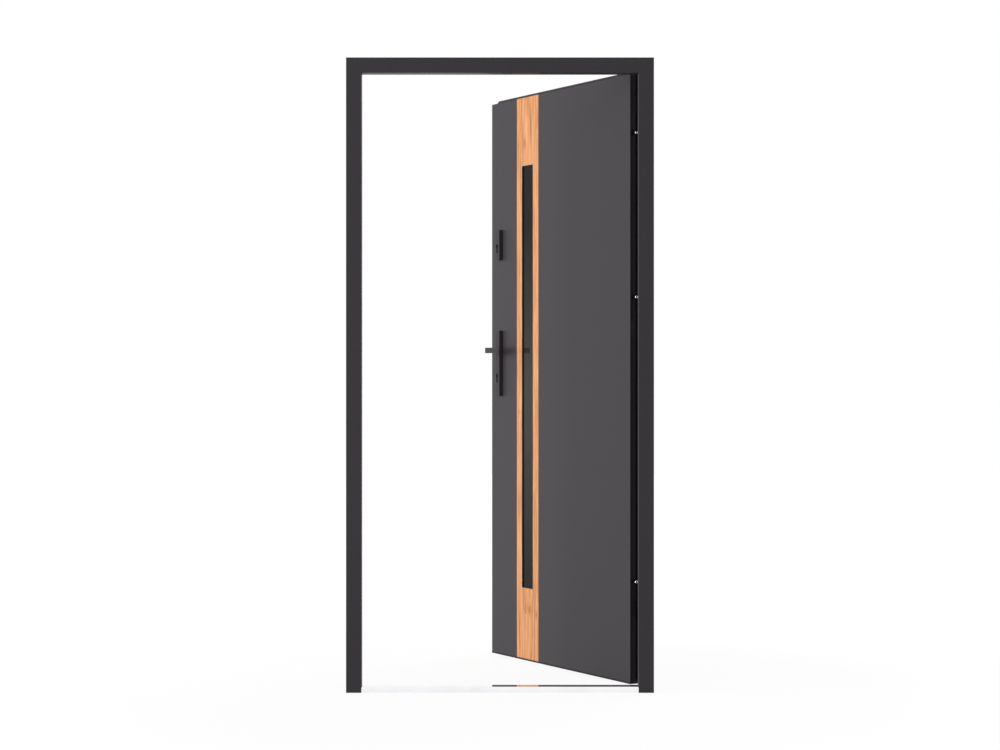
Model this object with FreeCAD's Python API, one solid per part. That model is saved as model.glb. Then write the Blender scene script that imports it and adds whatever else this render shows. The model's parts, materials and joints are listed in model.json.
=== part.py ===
import FreeCAD, Part
import math
import os
from FreeCAD import Vector

# A steel front door that opens inwards, in its steel frame, in millimetres.
# X runs across the doorway, -Y is outdoors, +Y is indoors, +Z is up. The origin is under the
# threshold's middle. Every piece of the leaf is drawn shut and then swung open about the hinges.

# Frame
clear_width = 900.0          # between the two stops
head_underside = 2013.0      # from the floor to the underside of the head
frame_face = 50.0            # width of jambs and head seen from outdoors
frame_depth = 82.0
stop_depth = 47.0            # from the outdoor face to the back of the stop
rebate_step = 15.5           # from the stop's edge out to the rebate's wall
frame_sheet = 1.5
bend_radius = 1.5            # outside radius of every folded edge

# Threshold
upstand_height = 19.5
ledge_height = 7.0           # the low part behind the upstand, under the shut leaf
nose_chamfer = 5.5
cover_sheet = 1.5

# Leaf
stop_overlap_side = 8.3      # the shut leaf reaches behind each stop
head_clearance = 5.0         # between the leaf's top and the rebate's top
ledge_clearance = 5.9        # between the ledge and the leaf's bottom
seal_gap = 5.0               # from stop to leaf, and from frame to lip
lip_side = 15.0              # the indoor skin's lip past the leaf's edge
lip_top = 16.5
lip_thickness = 17.0
skin = 1.0
skin_edge_round = 0.8
edge_profile_width = 20.0
bottom_profile_show = 6.0    # bottom profile left bare under the outdoor skin
open_angle = 60.0            # degrees, as the leaf stands

# Seals
seal_width = 5.0
seal_inset = 1.2             # from the stop's edge to the seal
soft_clearance = 0.3

# Decor strip and glazing
strip_from_free_edge = 180.0
strip_width = 150.0
strip_thickness = 1.2
strip_joint = 0.3            # shadow line each side of the strip
glass_from_free_edge = 216.0
glass_width = 76.0
glass_above_bottom = 258.1   # from the leaf's bottom to the slot
glass_below_top = 243.5      # from the slot to the leaf's top
glazing_bite = 12.0          # pane hidden behind the glazing frame, each side
glazing_wall = 2.0
pane_depth = 4.0             # from the skin's face back to the pane
pane_thickness = 4.0
spacer_width = 8.0

# Hinges
knuckle_radius = 10.0
knuckle_to_lip = 5.1
axis_inset = 0.8             # hinge axis in from the leaf's indoor face
hinge_length = 110.0
hinge_pin_radius = 5.0
running_clearance = 0.05
knuckle_gap = 0.5            # between the two knuckles, and under the pin's cap
wing_thickness = 3.0
frame_wing_width = 21.0
frame_web_width = 8.0
door_wing_width = 42.0
pin_cap_radius = 10.0
pin_cap_height = 3.0

# Security pins in the leaf's hinge edge
bottom_pin_height = 350.0
top_pin_drop = 192.5         # below the leaf's top
middle_pin_drop = 542.0      # below the top pin
security_pin_radius = 5.0
security_pin_length = 12.0
security_flange_radius = 7.0
security_flange = 1.5
slot_clearance = 2.0
slot_travel = 2.9            # how far a pin drifts indoors while it leaves its slot
hinge_from_security_pin = 75.0

# Locks
backset = 65.0               # from the free edge to the spindle and the cylinders
spindle_height = 1121.0
cylinder_drop = 92.0         # from the spindle down to the main cylinder
upper_cylinder_rise = 378.5  # from the spindle up to the upper cylinder
euro_radius = 8.5
euro_width = 10.0
euro_height = 33.0
cylinder_clearance = 0.5     # in the plates
cutout_clearance = 1.0       # round cylinder and spindle, through skins and core
cylinder_recess = 2.0        # cylinder's face behind the plate's face
keyway_width = 2.0
keyway_height = 9.0
keyway_depth = 10.0
faceplate_width = 20.0
faceplate_thickness = 3.0
bolt_thickness = 14.0
bolt_length = 40.0
bolt_recess = 1.0
bolt_clearance = 0.3
latch_rise = 38.0            # latch above the spindle
latch_height = 30.0
deadbolt_rise = 26.0         # deadbolts above their cylinder
deadbolt_height = 34.0
faceplate_margin = 26.0      # past the outermost bolt
strike_width = 24.0
strike_thickness = 2.0
strike_margin = 34.0
strike_window = 2.0          # play round each bolt in its window

# Handle set
plate_width = 28.0
plate_thickness = 15.5
plate_round = 3.0
plate_below_cylinder = 73.0
plate_above_spindle = 72.0
escutcheon_below_cylinder = 49.5
escutcheon_above_cylinder = 59.5
lever_reach = 46.0           # from the plate's face to the lever's outer face
lever_length = 90.0          # from the spindle to the lever's tip
lever_height = 20.0
lever_thickness = 10.0
lever_round = 2.5
neck_radius = 9.5
neck_seat = 8.0              # neck turning inside the plate
spindle_side = 8.0

# Wall fixings
fixing_radius = 5.5
fixing_end = 150.0           # from the frame's bottom and top to the end holes
fixing_count = 4

# Worked out from the sizes above
FLAT = 0.001                 # less than this counts as in the same plane
half_clear = clear_width / 2
frame_height = head_underside + frame_face
outdoor_y = -frame_depth / 2
indoor_y = frame_depth / 2
stop_back_y = outdoor_y + stop_depth
rebate_half = half_clear + rebate_step
leaf_half = half_clear + stop_overlap_side
leaf_top = head_underside + rebate_step - head_clearance
leaf_bottom = ledge_height + ledge_clearance
leaf_front_y = stop_back_y + seal_gap
lip_front_y = indoor_y + seal_gap
leaf_back_y = lip_front_y + lip_thickness
lip_half = leaf_half + lip_side
edge_mid_y = (leaf_front_y + lip_front_y) / 2
axis_x = lip_half + knuckle_to_lip + knuckle_radius
axis_y = leaf_back_y - axis_inset
seal_thickness = seal_gap - soft_clearance
strip_left = strip_from_free_edge - leaf_half
strip_right = strip_left + strip_width
glass_left = glass_from_free_edge - leaf_half
glass_right = glass_left + glass_width
glass_bottom = leaf_bottom + glass_above_bottom
glass_top = leaf_top - glass_below_top
lock_x = backset - leaf_half
cylinder_height = spindle_height - cylinder_drop
upper_cylinder_height = spindle_height + upper_cylinder_rise
top_pin_height = leaf_top - top_pin_drop
security_pin_heights = (bottom_pin_height, top_pin_height - middle_pin_drop, top_pin_height)
hinge_heights = (
    security_pin_heights[0] - hinge_from_security_pin,
    security_pin_heights[1] - hinge_from_security_pin,
    security_pin_heights[2] + hinge_from_security_pin,
)
knuckle_length = (hinge_length - knuckle_gap) / 2
main_bolts = (
    (spindle_height + latch_rise, latch_height),
    (cylinder_height + deadbolt_rise, deadbolt_height),
)
upper_bolts = ((upper_cylinder_height + deadbolt_rise, deadbolt_height),)
fixing_pitch = (frame_height - 2 * fixing_end) / (fixing_count - 1)
fixing_heights = [fixing_end + n * fixing_pitch for n in range(fixing_count)]


def block(x0, x1, y0, y1, z0, z1):
    """A box between two corners, given in any order."""
    low = Vector(min(x0, x1), min(y0, y1), min(z0, z1))
    return Part.makeBox(abs(x1 - x0), abs(y1 - y0), abs(z1 - z0), low)


def prism(points, along):
    """A flat outline carried along a vector."""
    return Part.Face(Part.makePolygon(points + points[:1])).extrude(along)


def rounded_prism(points, radii, along):
    """An outline with an arc of the given radius at each corner, carried along a vector."""
    edges = []
    corners = []
    for n, corner in enumerate(points):
        back = (points[n - 1] - corner).normalize()
        ahead = (points[(n + 1) % len(points)] - corner).normalize()
        half_angle = back.getAngle(ahead) / 2
        reach = radii[n] / math.tan(half_angle)
        towards = (back + ahead).normalize()
        dip = radii[n] / math.sin(half_angle) - radii[n]
        corners.append((corner + back * reach, corner + towards * dip, corner + ahead * reach))
    for n, (start, middle, end) in enumerate(corners):
        if radii[n] > 0:
            edges.append(Part.Arc(start, middle, end).toShape())
        following = corners[(n + 1) % len(corners)][0]
        edges.append(Part.LineSegment(end, following).toShape())
    return Part.Face(Part.Wire(edges)).extrude(along)


def rod(x, y, z, along, radius):
    """A round bar from a point, as long and in the direction of a vector."""
    return Part.makeCylinder(radius, along.Length, Vector(x, y, z), along)


def edges_at_y(shape, y):
    """The edges of a shape that lie in the plane at y."""
    return [
        edge
        for edge in shape.Edges
        if all(abs(vertex.Y - y) < FLAT for vertex in edge.Vertexes)
    ]


def save(name, shape):
    shape.exportStep("parts/" + name + ".step")


def save_swung(name, shape):
    """Writes a piece of the leaf, turned from shut to its open place."""
    opened = shape.copy()
    opened.rotate(Vector(axis_x, axis_y, 0), Vector(0, 0, -1), open_angle)
    save(name, opened)


# Frame


def frame_outline(inset):
    """The frame's section as (distance out from the stop's edge, y), inset by a sheet or by 0."""
    return [
        (inset, outdoor_y + inset),
        (frame_face - inset, outdoor_y + inset),
        (frame_face - inset, indoor_y - inset),
        (rebate_step + inset, indoor_y - inset),
        (rebate_step + inset, stop_back_y - inset),
        (inset, stop_back_y - inset),
    ]


def frame_radii():
    """The bends of that section: round where it turns outwards, sharp in the rebate's corner."""
    return [bend_radius, bend_radius, bend_radius, bend_radius, 0, bend_radius]


def jamb(side):
    """A hollow jamb, side 1 on the hinge side and -1 on the lock side, mitred at its top."""

    def section(inset):
        return [Vector(side * (half_clear + out), y, 0) for out, y in frame_outline(inset)]

    length = Vector(0, 0, frame_height)
    bar = rounded_prism(section(0), frame_radii(), length)
    hollow = bar.cut(prism(section(frame_sheet), length))
    over_mitre = prism(
        [
            Vector(side * half_clear, outdoor_y, head_underside),
            Vector(side * (half_clear + frame_face), outdoor_y, frame_height),
            Vector(side * half_clear, outdoor_y, frame_height),
        ],
        Vector(0, frame_depth, 0),
    )
    return hollow.cut(over_mitre)


def frame_head():
    """The hollow head, mitred at both ends."""

    def section(inset):
        return [
            Vector(-half_clear - frame_face, y, head_underside + out)
            for out, y in frame_outline(inset)
        ]

    length = Vector(clear_width + 2 * frame_face, 0, 0)
    bar = rounded_prism(section(0), frame_radii(), length)
    between_mitres = prism(
        [
            Vector(-half_clear, outdoor_y, head_underside),
            Vector(half_clear, outdoor_y, head_underside),
            Vector(half_clear + frame_face, outdoor_y, frame_height),
            Vector(-half_clear - frame_face, outdoor_y, frame_height),
        ],
        Vector(0, frame_depth, 0),
    )
    return bar.cut(prism(section(frame_sheet), length)).common(between_mitres)


def wall_fixings(side):
    """Straight holes through a jamb's rebate wall and outer wall, one above the other."""
    start = side * rebate_half
    reach = Vector(side * (frame_face - rebate_step), 0, 0)
    holes = [rod(start, edge_mid_y, z, reach, fixing_radius) for z in fixing_heights]
    return Part.makeCompound(holes)


def pin_slots():
    """Slots in the hinge jamb that the security pins enter, long enough for their swing."""
    radius = security_pin_radius + slot_clearance
    slots = []
    for z in security_pin_heights:
        wall = Vector(2 * frame_sheet, 0, 0)
        start = rebate_half - frame_sheet / 2
        slots.append(rod(start, edge_mid_y, z, wall, radius))
        slots.append(rod(start, edge_mid_y + slot_travel, z, wall, radius))
        middle = block(
            start, start + wall.x, edge_mid_y, edge_mid_y + slot_travel, z - radius, z + radius
        )
        slots.append(middle)
    return slots


def bolt_windows(bolts, start, end, play):
    """Rectangular windows that a lock's bolts pass through, with play all round."""
    half = bolt_thickness / 2 + play
    windows = []
    for z, height in bolts:
        reach = height / 2 + play
        windows.append(block(start, end, edge_mid_y - half, edge_mid_y + half, z - reach, z + reach))
    return windows


def hinge_jamb():
    shape = jamb(1).cut(wall_fixings(1))
    for slot in pin_slots():
        shape = shape.cut(slot)
    return shape


def lock_jamb():
    shape = jamb(-1).cut(wall_fixings(-1))
    wall = (-rebate_half, -rebate_half - frame_sheet)
    for window in bolt_windows(main_bolts + upper_bolts, wall[0], wall[1], strike_window):
        shape = shape.cut(window)
    return shape


def strike_plate(bolts):
    """A flat plate on the lock jamb's rebate wall, with a window for each bolt."""
    low = min(z - height / 2 for z, height in bolts) - strike_margin
    high = max(z + height / 2 for z, height in bolts) + strike_margin
    half = strike_width / 2
    front = strike_thickness - rebate_half
    plate = block(-rebate_half, front, edge_mid_y - half, edge_mid_y + half, low, high)
    for window in bolt_windows(bolts, -rebate_half, front, strike_window):
        plate = plate.cut(window)
    return plate


def threshold_line(inset):
    """The cover's bent line from its nose to the ledge's end, as (y, z), on either face."""
    half_turn = math.pi / 8  # half of the chamfer's 45 degrees
    turn = inset * math.tan(half_turn)
    return [
        (outdoor_y + inset, 0),
        (outdoor_y + inset, upstand_height - nose_chamfer - turn),
        (outdoor_y + nose_chamfer + turn, upstand_height - inset),
        (stop_back_y - inset, upstand_height - inset),
        (stop_back_y - inset, ledge_height - inset),
        (indoor_y, ledge_height - inset),
    ]


def threshold_radii(inset):
    outwards = bend_radius - inset
    inwards = bend_radius - cover_sheet + inset
    return [0, outwards, outwards, outwards, inwards, 0]


def threshold_bar(outline, radii):
    points = [Vector(-rebate_half, y, z) for y, z in outline]
    return notch_for_stops(rounded_prism(points, radii, Vector(2 * rebate_half, 0, 0)))


def threshold_cover():
    """A bent sheet: a chamfered nose, the upstand's top, its back and the low ledge."""
    outline = threshold_line(0) + threshold_line(cover_sheet)[::-1]
    return threshold_bar(outline, threshold_radii(0) + threshold_radii(cover_sheet)[::-1])


def threshold_base():
    """The solid base that fills the cover and lies on the floor."""
    outline = threshold_line(cover_sheet) + [(indoor_y, 0)]
    return threshold_bar(outline, threshold_radii(cover_sheet) + [0])


def notch_for_stops(shape):
    """Takes off the two outdoor corners, where the jambs' stops come down."""
    for side in (-1, 1):
        corner = block(
            side * half_clear, side * rebate_half, outdoor_y, stop_back_y, 0, upstand_height
        )
        shape = shape.cut(corner)
    return shape


def seal_ring(half, low, high, y0, y1, open_below):
    """A flat ring of seal between y0 and y1, measured to its inner edge."""
    outer = block(-half - seal_width, half + seal_width, y0, y1, low - seal_width, high + seal_width)
    hole_low = low - seal_width if open_below else low
    return outer.cut(block(-half, half, y0, y1, hole_low, high))


def frame_seal():
    """The seal on the back of the stops, the head and the upstand."""
    return seal_ring(
        half_clear + seal_inset,
        upstand_height - seal_inset,
        head_underside + seal_inset,
        stop_back_y,
        stop_back_y + seal_thickness,
        False,
    )


# Leaf, drawn shut


def outer_skin():
    """The outdoor sheet, stepped back behind the decor strip and cut for glass and locks."""
    low = leaf_bottom + bottom_profile_show
    sheet = block(-leaf_half, leaf_half, leaf_front_y, leaf_front_y + skin, low, leaf_top)
    sheet = sheet.makeFillet(skin_edge_round, edges_at_y(sheet, leaf_front_y))
    channel = (strip_left - strip_joint, strip_right + strip_joint)
    step = leaf_front_y + strip_thickness
    back = block(channel[0] - skin, channel[1] + skin, leaf_front_y, step + skin, low, leaf_top)
    sheet = sheet.fuse(back).cut(block(channel[0], channel[1], leaf_front_y, step, low, leaf_top))
    return pierce(sheet).removeSplitter()


def inner_skin():
    """The indoor sheet with its lip, folded round to the leaf's edge."""
    low = leaf_bottom + bottom_profile_show
    high = leaf_top + lip_top
    pan = block(-lip_half, lip_half, lip_front_y, leaf_back_y, low, high)
    folds = [edge for edge in pan.Edges if abs(edge.CenterOfMass.z - low) > bend_radius]
    pan = pan.makeFillet(bend_radius, [edge for edge in folds if is_fold(edge)])
    room = block(
        skin - lip_half,
        lip_half - skin,
        lip_front_y + skin,
        leaf_back_y - skin,
        low,
        high - skin,
    )
    mouth = block(
        edge_profile_width - leaf_half,
        leaf_half - edge_profile_width,
        lip_front_y,
        lip_front_y + skin,
        low,
        leaf_top - edge_profile_width,
    )
    channel = (strip_left - strip_joint, strip_right + strip_joint)
    step = leaf_back_y - strip_thickness
    back = block(channel[0] - skin, channel[1] + skin, step - skin, leaf_back_y, low, high - skin)
    pan = pan.cut(room).cut(mouth).fuse(back)
    pan = pan.cut(block(channel[0], channel[1], step, leaf_back_y, low, high))
    return pierce(pan).removeSplitter()


def is_fold(edge):
    """Whether an edge of the lip's outline is one of the sheet's folds, not a corner to corner."""
    return abs(edge.CenterOfMass.y - (lip_front_y + leaf_back_y) / 2) > bend_radius


def pierce(shape):
    """Cuts the glazing's opening and cut-outs for spindle and cylinders through a leaf piece."""
    shape = shape.cut(glazing_room())
    spindle_reach = spindle_side / math.sqrt(2) + cutout_clearance
    reaches = [(spindle_height, spindle_reach, spindle_reach, spindle_reach)]
    for z in (cylinder_height, upper_cylinder_height):
        below = euro_height - euro_radius + cutout_clearance
        reaches.append((z, euro_radius + cutout_clearance, below, euro_radius + cutout_clearance))
    for z, aside, below, above in reaches:
        hole = block(
            lock_x - aside, lock_x + aside, leaf_front_y, leaf_back_y, z - below, z + above
        )
        shape = shape.cut(hole)
    return shape


def glazing_room():
    """The space of panes and glazing frames behind the skins, and the bare slot through them."""
    bite = glazing_bite
    behind = leaf_front_y + strip_thickness + skin
    before = leaf_back_y - strip_thickness - skin
    room = block(
        glass_left - bite, glass_right + bite, behind, before, glass_bottom - bite, glass_top + bite
    )
    slot = block(glass_left, glass_right, leaf_front_y, leaf_back_y, glass_bottom, glass_top)
    return room.fuse(slot)


def leaf_core():
    """The insulating core between the skins and the edge profiles."""
    inner_edge = leaf_half - edge_profile_width
    inner_top = leaf_top - edge_profile_width
    low = leaf_bottom + edge_profile_width
    front = block(
        -inner_edge, inner_edge, leaf_front_y + skin, lip_front_y + skin, low, inner_top
    )
    back = block(
        skin - lip_half,
        lip_half - skin,
        lip_front_y + skin,
        leaf_back_y - skin,
        low,
        leaf_top + lip_top - skin,
    )
    channel = (strip_left - strip_joint - skin, strip_right + strip_joint + skin)
    depth = strip_thickness + skin
    core = front.fuse(back)
    high = leaf_top + lip_top
    for y0, y1 in (
        (leaf_front_y, leaf_front_y + depth),
        (leaf_back_y - depth, leaf_back_y),
    ):
        core = core.cut(block(channel[0], channel[1], y0, y1, low, high))
    core = pierce(core)
    for pocket in bolt_windows(
        main_bolts + upper_bolts, -leaf_half, bolt_length + bolt_recess - leaf_half, bolt_clearance
    ):
        core = core.cut(pocket)
    return core.removeSplitter()


def side_edge_profile(side):
    """The dark profile that closes the leaf's hinge edge, side 1, or lock edge, side -1."""
    bar = block(
        side * (leaf_half - edge_profile_width),
        side * leaf_half,
        leaf_front_y + skin,
        lip_front_y,
        leaf_bottom + edge_profile_width,
        leaf_top,
    )
    if side < 0:
        start = -leaf_half
        for z, height in faceplates():
            bar = bar.cut(faceplate_block(z, height))
        end = edge_profile_width - leaf_half
        for pocket in bolt_windows(main_bolts + upper_bolts, start, end, bolt_clearance):
            bar = bar.cut(pocket)
    return bar


def top_edge_profile():
    """The dark profile along the leaf's top, between the side profiles."""
    inner_edge = leaf_half - edge_profile_width
    low = leaf_top - edge_profile_width
    bar = block(-inner_edge, inner_edge, leaf_front_y + skin, lip_front_y, low, leaf_top)
    depth = leaf_front_y + strip_thickness + skin
    channel = (strip_left - strip_joint - skin, strip_right + strip_joint + skin)
    return bar.cut(block(channel[0], channel[1], leaf_front_y, depth, low, leaf_top))


def bottom_edge_profile():
    """The dark profile under the leaf, whose front and back show under the skins."""
    top = leaf_bottom + edge_profile_width
    show = leaf_bottom + bottom_profile_show
    upper = block(-leaf_half, leaf_half, leaf_front_y + skin, lip_front_y, show, top)
    fill = block(
        skin - lip_half, lip_half - skin, lip_front_y + skin, leaf_back_y - skin, show, top
    )
    neck_half = leaf_half - edge_profile_width
    neck = block(-neck_half, neck_half, lip_front_y, lip_front_y + skin, show, top)
    foot = block(-leaf_half, leaf_half, leaf_front_y, leaf_back_y, leaf_bottom, show)
    bar = upper.fuse(fill).fuse(neck).fuse(foot)
    depth = strip_thickness + skin
    channel = (strip_left - strip_joint - skin, strip_right + strip_joint + skin)
    bar = bar.cut(block(channel[0], channel[1], leaf_front_y, leaf_front_y + depth, show, top))
    bar = bar.cut(block(channel[0], channel[1], leaf_back_y - depth, leaf_back_y, show, top))
    return bar.removeSplitter()


def lip_seal():
    """The seal on the lip's front, at both sides and along the top."""
    low = leaf_bottom + bottom_profile_show + seal_width
    half = rebate_half + seal_inset
    high = head_underside + rebate_step + seal_inset
    return seal_ring(half, low, high, lip_front_y - seal_thickness, lip_front_y, True)


def decor_strip(y_face, inward, high):
    """A wood-look strip flush in a skin, with its slot for the glass."""
    low = leaf_bottom + bottom_profile_show
    y_back = y_face + inward * strip_thickness
    strip = block(strip_left, strip_right, y_face, y_back, low, high)
    return strip.cut(block(glass_left, glass_right, y_face, y_back, glass_bottom, glass_top))


def glazing_frame(y_face, inward):
    """A ring that lines the slot from the skin's face back to the pane and holds the pane."""
    bite = glazing_bite
    wall = glazing_wall
    y_shelf = y_face + inward * (strip_thickness + skin)
    y_pane = y_face + inward * pane_depth
    flange = block(
        glass_left - bite, glass_right + bite, y_shelf, y_pane, glass_bottom - bite, glass_top + bite
    )
    lining = block(glass_left, glass_right, y_face, y_pane, glass_bottom, glass_top)
    hole = block(
        glass_left + wall, glass_right - wall, y_face, y_pane, glass_bottom + wall, glass_top - wall
    )
    return flange.fuse(lining).cut(hole).removeSplitter()


def pane(y_face, inward):
    y0 = y_face + inward * pane_depth
    y1 = y0 + inward * pane_thickness
    bite = glazing_bite
    return block(glass_left - bite, glass_right + bite, y0, y1, glass_bottom - bite, glass_top + bite)


def glass_spacer():
    """The ring that keeps the two panes apart."""
    bite = glazing_bite
    y0 = leaf_front_y + pane_depth + pane_thickness
    y1 = leaf_back_y - pane_depth - pane_thickness
    ring = block(glass_left - bite, glass_right + bite, y0, y1, glass_bottom - bite, glass_top + bite)
    inset = spacer_width - bite
    hole = block(
        glass_left + inset, glass_right - inset, y0, y1, glass_bottom + inset, glass_top - inset
    )
    return ring.cut(hole)


def security_pins():
    """Three round pins, each on a flange, standing out of the hinge edge."""
    pins = []
    for z in security_pin_heights:
        flange = Vector(security_flange, 0, 0)
        length = Vector(security_pin_length, 0, 0)
        pin = rod(leaf_half, edge_mid_y, z, length, security_pin_radius)
        pin = pin.fuse(rod(leaf_half, edge_mid_y, z, flange, security_flange_radius))
        pins.append(pin.removeSplitter())
    return Part.makeCompound(pins)


# Hinges


def knuckle(low):
    """A bored knuckle on the hinge axis, from its lower end up."""
    length = Vector(0, 0, knuckle_length)
    return rod(axis_x, axis_y, low, length, knuckle_radius)


def bore(low):
    length = Vector(0, 0, knuckle_length)
    return rod(axis_x, axis_y, low, length, hinge_pin_radius + running_clearance)


def hinge_frame_wing(z):
    """A plate on the frame's indoor face, with a web to the lower knuckle, which carries the leaf."""
    low = z - hinge_length / 2
    left = axis_x - frame_wing_width / 2
    plate_y = indoor_y + wing_thickness
    plate = block(left, left + frame_wing_width, indoor_y, plate_y, low, low + hinge_length)
    half_web = frame_web_width / 2
    web = block(axis_x - half_web, axis_x + half_web, plate_y, axis_y, low, low + knuckle_length)
    return plate.fuse(web).fuse(knuckle(low)).cut(bore(low)).removeSplitter()


def hinge_door_wing(z):
    """A plate on the leaf's indoor face, with an arm to the upper knuckle."""
    high = z + hinge_length / 2
    low = high - knuckle_length
    plate_y = leaf_back_y + wing_thickness
    right = lip_half - bend_radius
    left = right - door_wing_width
    plate = block(left, right, leaf_back_y, plate_y, high - hinge_length, high)
    arm = block(right, axis_x, leaf_back_y, plate_y, low, high)
    return plate.fuse(arm).fuse(knuckle(low)).cut(bore(low)).removeSplitter()


def hinge_pins():
    """The three hinge pins, held in the frame's knuckles, each with a cap over the leaf's knuckle."""
    pins = []
    for z in hinge_heights:
        low = z - hinge_length / 2
        under_cap = z + hinge_length / 2 + knuckle_gap
        length = Vector(0, 0, under_cap - low)
        pin = rod(axis_x, axis_y, low, length, hinge_pin_radius)
        cap = rod(axis_x, axis_y, under_cap, Vector(0, 0, pin_cap_height), pin_cap_radius)
        pins.append(pin.fuse(cap).removeSplitter())
    return Part.makeCompound(pins)


# Locks and handles


def euro_profile(z, y0, y1, grow):
    """The keyhole-shaped prism of a profile cylinder, grown by a clearance."""
    radius = euro_radius + grow
    half = euro_width / 2 + grow
    foot = z + euro_radius - euro_height - grow + half
    round_part = rod(lock_x, y0, z, Vector(0, y1 - y0, 0), radius)
    shank = block(lock_x - half, lock_x + half, y0, y1, foot, z)
    end = rod(lock_x, y0, foot, Vector(0, y1 - y0, 0), half)
    return round_part.fuse(shank).fuse(end).removeSplitter()


def cylinder(z):
    """A profile cylinder through the leaf, with a keyway in both ends."""
    y0 = leaf_front_y - plate_thickness + cylinder_recess
    y1 = leaf_back_y + plate_thickness - cylinder_recess
    body = euro_profile(z, y0, y1, 0)
    half_width = keyway_width / 2
    half_height = keyway_height / 2
    for start, end in ((y0, y0 + keyway_depth), (y1 - keyway_depth, y1)):
        keyway = block(
            lock_x - half_width, lock_x + half_width, start, end, z - half_height, z + half_height
        )
        body = body.cut(keyway)
    return body


def faceplates():
    """Centre height and length of both faceplates in the lock edge."""
    plates = []
    for bolts in (main_bolts, upper_bolts):
        low = min(z - height / 2 for z, height in bolts) - faceplate_margin
        high = max(z + height / 2 for z, height in bolts) + faceplate_margin
        plates.append(((low + high) / 2, high - low))
    return plates


def faceplate_block(z, height):
    half = faceplate_width / 2
    return block(
        -leaf_half,
        faceplate_thickness - leaf_half,
        edge_mid_y - half,
        edge_mid_y + half,
        z - height / 2,
        z + height / 2,
    )


def faceplate(number, bolts):
    """A lock's faceplate, flush in the leaf's edge, with a window for each bolt."""
    z, height = faceplates()[number]
    plate = faceplate_block(z, height)
    end = faceplate_thickness - leaf_half
    for window in bolt_windows(bolts, -leaf_half, end, bolt_clearance):
        plate = plate.cut(window)
    return plate


def lock_bolts(bolts):
    """A lock's bolts, drawn back into the leaf."""
    start = bolt_recess - leaf_half
    return Part.makeCompound(bolt_windows(bolts, start, start + bolt_length, 0))


def handle_plate(y_face, outward, low, high, cylinder_z, has_lever):
    """A thick plate with rounded front edges, bored for the cylinder and the lever's neck."""
    half = plate_width / 2
    y_front = y_face + outward * plate_thickness
    plate = block(lock_x - half, lock_x + half, y_face, y_front, low, high)
    plate = plate.makeFillet(plate_round, edges_at_y(plate, y_front))
    plate = plate.cut(euro_profile(cylinder_z, y_face, y_front, cylinder_clearance))
    if has_lever:
        bore = rod(
            lock_x,
            y_face,
            spindle_height,
            Vector(0, outward * plate_thickness, 0),
            neck_radius + running_clearance,
        )
        plate = plate.cut(bore)
    return plate


def lever(y_face, outward):
    """A flat bar lever on a round neck that turns in the plate, socketed for the spindle."""
    y_plate = y_face + outward * plate_thickness
    y_outer = y_plate + outward * lever_reach
    y_inner = y_outer - outward * lever_thickness
    half = lever_height / 2
    bar = block(
        lock_x - half,
        lock_x + lever_length,
        y_inner,
        y_outer,
        spindle_height - half,
        spindle_height + half,
    )
    along = [edge for edge in bar.Edges if edge.BoundBox.XLength > lever_height]
    bar = bar.makeFillet(lever_round, along)
    y_seat = y_plate - outward * neck_seat
    overlap = lever_thickness / 2
    neck_length = abs(y_inner - y_seat) + overlap
    neck = rod(lock_x, y_seat, spindle_height, Vector(0, outward * neck_length, 0), neck_radius)
    side = spindle_side / 2
    socket = block(
        lock_x - side,
        lock_x + side,
        y_seat,
        y_inner,
        spindle_height - side,
        spindle_height + side,
    )
    return bar.fuse(neck).cut(socket).removeSplitter()


def spindle():
    """The square bar through the leaf, from lever to lever."""
    side = spindle_side / 2
    reach = plate_thickness + lever_reach - lever_thickness
    return block(
        lock_x - side,
        lock_x + side,
        leaf_front_y - reach,
        leaf_back_y + reach,
        spindle_height - side,
        spindle_height + side,
    )


os.makedirs("parts", exist_ok=True)

save("frame_head", frame_head())
save("hinge_jamb", hinge_jamb())
save("lock_jamb", lock_jamb())
save("threshold_cover", threshold_cover())
save("threshold_base", threshold_base())
save("frame_seal", frame_seal())
save("main_strike_plate", strike_plate(main_bolts))
save("upper_strike_plate", strike_plate(upper_bolts))

for place, z in zip(("bottom", "middle", "top"), hinge_heights):
    save("hinge_" + place + "_frame_wing", hinge_frame_wing(z))
    save_swung("hinge_" + place + "_door_wing", hinge_door_wing(z))
save("hinge_pins", hinge_pins())

save_swung("outer_skin", outer_skin())
save_swung("inner_skin", inner_skin())
save_swung("leaf_core", leaf_core())
save_swung("hinge_edge_profile", side_edge_profile(1))
save_swung("lock_edge_profile", side_edge_profile(-1))
save_swung("top_edge_profile", top_edge_profile())
save_swung("bottom_edge_profile", bottom_edge_profile())
save_swung("lip_seal", lip_seal())
save_swung("outer_decor_strip", decor_strip(leaf_front_y, 1, leaf_top))
save_swung("inner_decor_strip", decor_strip(leaf_back_y, -1, leaf_top + lip_top))
save_swung("outer_glazing_frame", glazing_frame(leaf_front_y, 1))
save_swung("inner_glazing_frame", glazing_frame(leaf_back_y, -1))
save_swung("outer_pane", pane(leaf_front_y, 1))
save_swung("inner_pane", pane(leaf_back_y, -1))
save_swung("glass_spacer", glass_spacer())
save_swung("security_pins", security_pins())

save_swung("main_lock_faceplate", faceplate(0, main_bolts))
save_swung("upper_lock_faceplate", faceplate(1, upper_bolts))
save_swung("main_lock_bolts", lock_bolts(main_bolts))
save_swung("upper_lock_bolt", lock_bolts(upper_bolts))
save_swung("main_cylinder", cylinder(cylinder_height))
save_swung("upper_cylinder", cylinder(upper_cylinder_height))

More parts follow.
